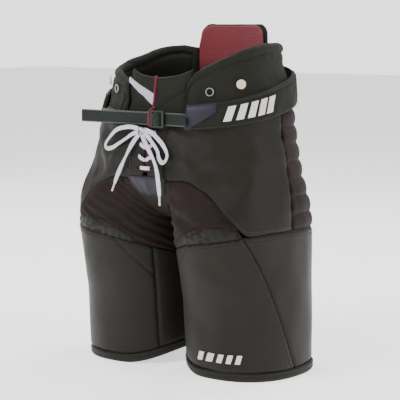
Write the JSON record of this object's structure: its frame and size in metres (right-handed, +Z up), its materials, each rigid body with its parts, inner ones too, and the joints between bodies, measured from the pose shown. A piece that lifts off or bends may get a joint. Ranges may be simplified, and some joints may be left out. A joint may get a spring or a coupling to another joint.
{
  "type": "hockey pants",
  "caption": "Padded ice-hockey pants with two stiff legs, a belted waist with rising kidney and spine pads, a laced fly and a strap with a ladder buckle.",
  "frame": {"origin": "on the floor under the hems, in the middle of the width and depth of the garment", "axes": "+Z up, front of the pants towards -Y, wearer's left towards +X"},
  "size_m": [0.406, 0.2844, 0.562],
  "materials": {
    "nylon_shell": "satin woven nylon over thin foam",
    "stretch_fabric": "matte knitted stretch fabric",
    "satin_trim": "satin woven polyester",
    "pad_cover": "matte woven nylon over foam",
    "webbing": "woven polyester webbing",
    "buckle_plastic": "moulded acetal",
    "guard_plastic": "moulded polyethylene",
    "foam": "closed-cell foam",
    "lining": "plain woven lining",
    "red_mesh": "open knitted mesh",
    "red_piping": "woven piping",
    "white_lace": "flat woven cotton lace",
    "steel": "bright nickel plate",
    "cream_plastic": "moulded plastic"
  },
  "bodies": {
    "hips": {"left_front_panel": "nylon_shell", "right_front_panel": "nylon_shell", "left_hip_panel": "nylon_shell", "right_hip_panel": "nylon_shell", "left_seat_panel": "nylon_shell", "right_seat_panel": "nylon_shell", "left_fly_facing": "nylon_shell", "right_fly_facing": "nylon_shell", "left_stretch_panel": "stretch_fabric", "right_stretch_panel": "stretch_fabric", "left_pleated_back_panel": "stretch_fabric", "right_pleated_back_panel": "stretch_fabric", "crotch_gusset": "stretch_fabric", "fly_gusset_patch": "satin_trim", "belt_cover_patch": "satin_trim", "left_kidney_pad": "pad_cover", "right_kidney_pad": "pad_cover", "left_belt_cover": "pad_cover", "right_belt_cover": "pad_cover", "spine_pad": "pad_cover", "belly_panel": "pad_cover", "strap_sewn_end": "webbing", "strap_anchor": "webbing", "ladder_buckle": "buckle_plastic", "left_hip_guard": "guard_plastic", "right_hip_guard": "guard_plastic", "tailbone_guard": "guard_plastic", "hip_liner": "lining", "spine_pad_lining": "red_mesh", "fly_tongue": "red_mesh", "belly_piping": "red_piping", "fly_lacing": "white_lace", "lace_knot": "white_lace", "left_lace_loop": "white_lace", "right_lace_loop": "white_lace", "left_lace_tail": "white_lace", "right_lace_tail": "white_lace", "left_snap_ring": "steel", "right_snap_ring": "steel", "left_suspender_button": "cream_plastic", "right_suspender_button": "cream_plastic", "left_aglet": "cream_plastic", "right_aglet": "cream_plastic"},
    "left_leg": {"left_front_thigh_panel": "nylon_shell", "left_side_thigh_panel": "nylon_shell", "left_back_thigh_panel": "nylon_shell", "left_hem_band": "nylon_shell", "left_inner_thigh_panel": "stretch_fabric", "left_thigh_guard_plate": "guard_plastic", "left_thigh_foam": "foam", "left_leg_liner": "lining"},
    "right_leg": {"right_front_thigh_panel": "nylon_shell", "right_side_thigh_panel": "nylon_shell", "right_back_thigh_panel": "nylon_shell", "right_hem_band": "nylon_shell", "right_inner_thigh_panel": "stretch_fabric", "right_thigh_guard_plate": "guard_plastic", "right_thigh_foam": "foam", "right_leg_liner": "lining"},
    "strap_tail": {"strap_tail": "webbing"}
  },
  "joints": [
    {"name": "left_leg_swing", "type": "hinge", "parent": "hips", "child": "left_leg", "pos_m": [0, 0.0098, 0.3], "axis": [1, 0, 0], "range_deg": [-15, 10], "stiffness_Nm_per_rad": 4, "deforming": ["left_stretch_panel"]},
    {"name": "right_leg_swing", "type": "hinge", "parent": "hips", "child": "right_leg", "pos_m": [0, 0.0098, 0.3], "axis": [1, 0, 0], "range_deg": [-15, 10], "stiffness_Nm_per_rad": 4, "deforming": ["right_stretch_panel"]},
    {"name": "strap_pull", "type": "slide", "parent": "hips", "child": "strap_tail", "axis": [-1, 0, 0], "range_m": [0, 0.014]}
  ]
}
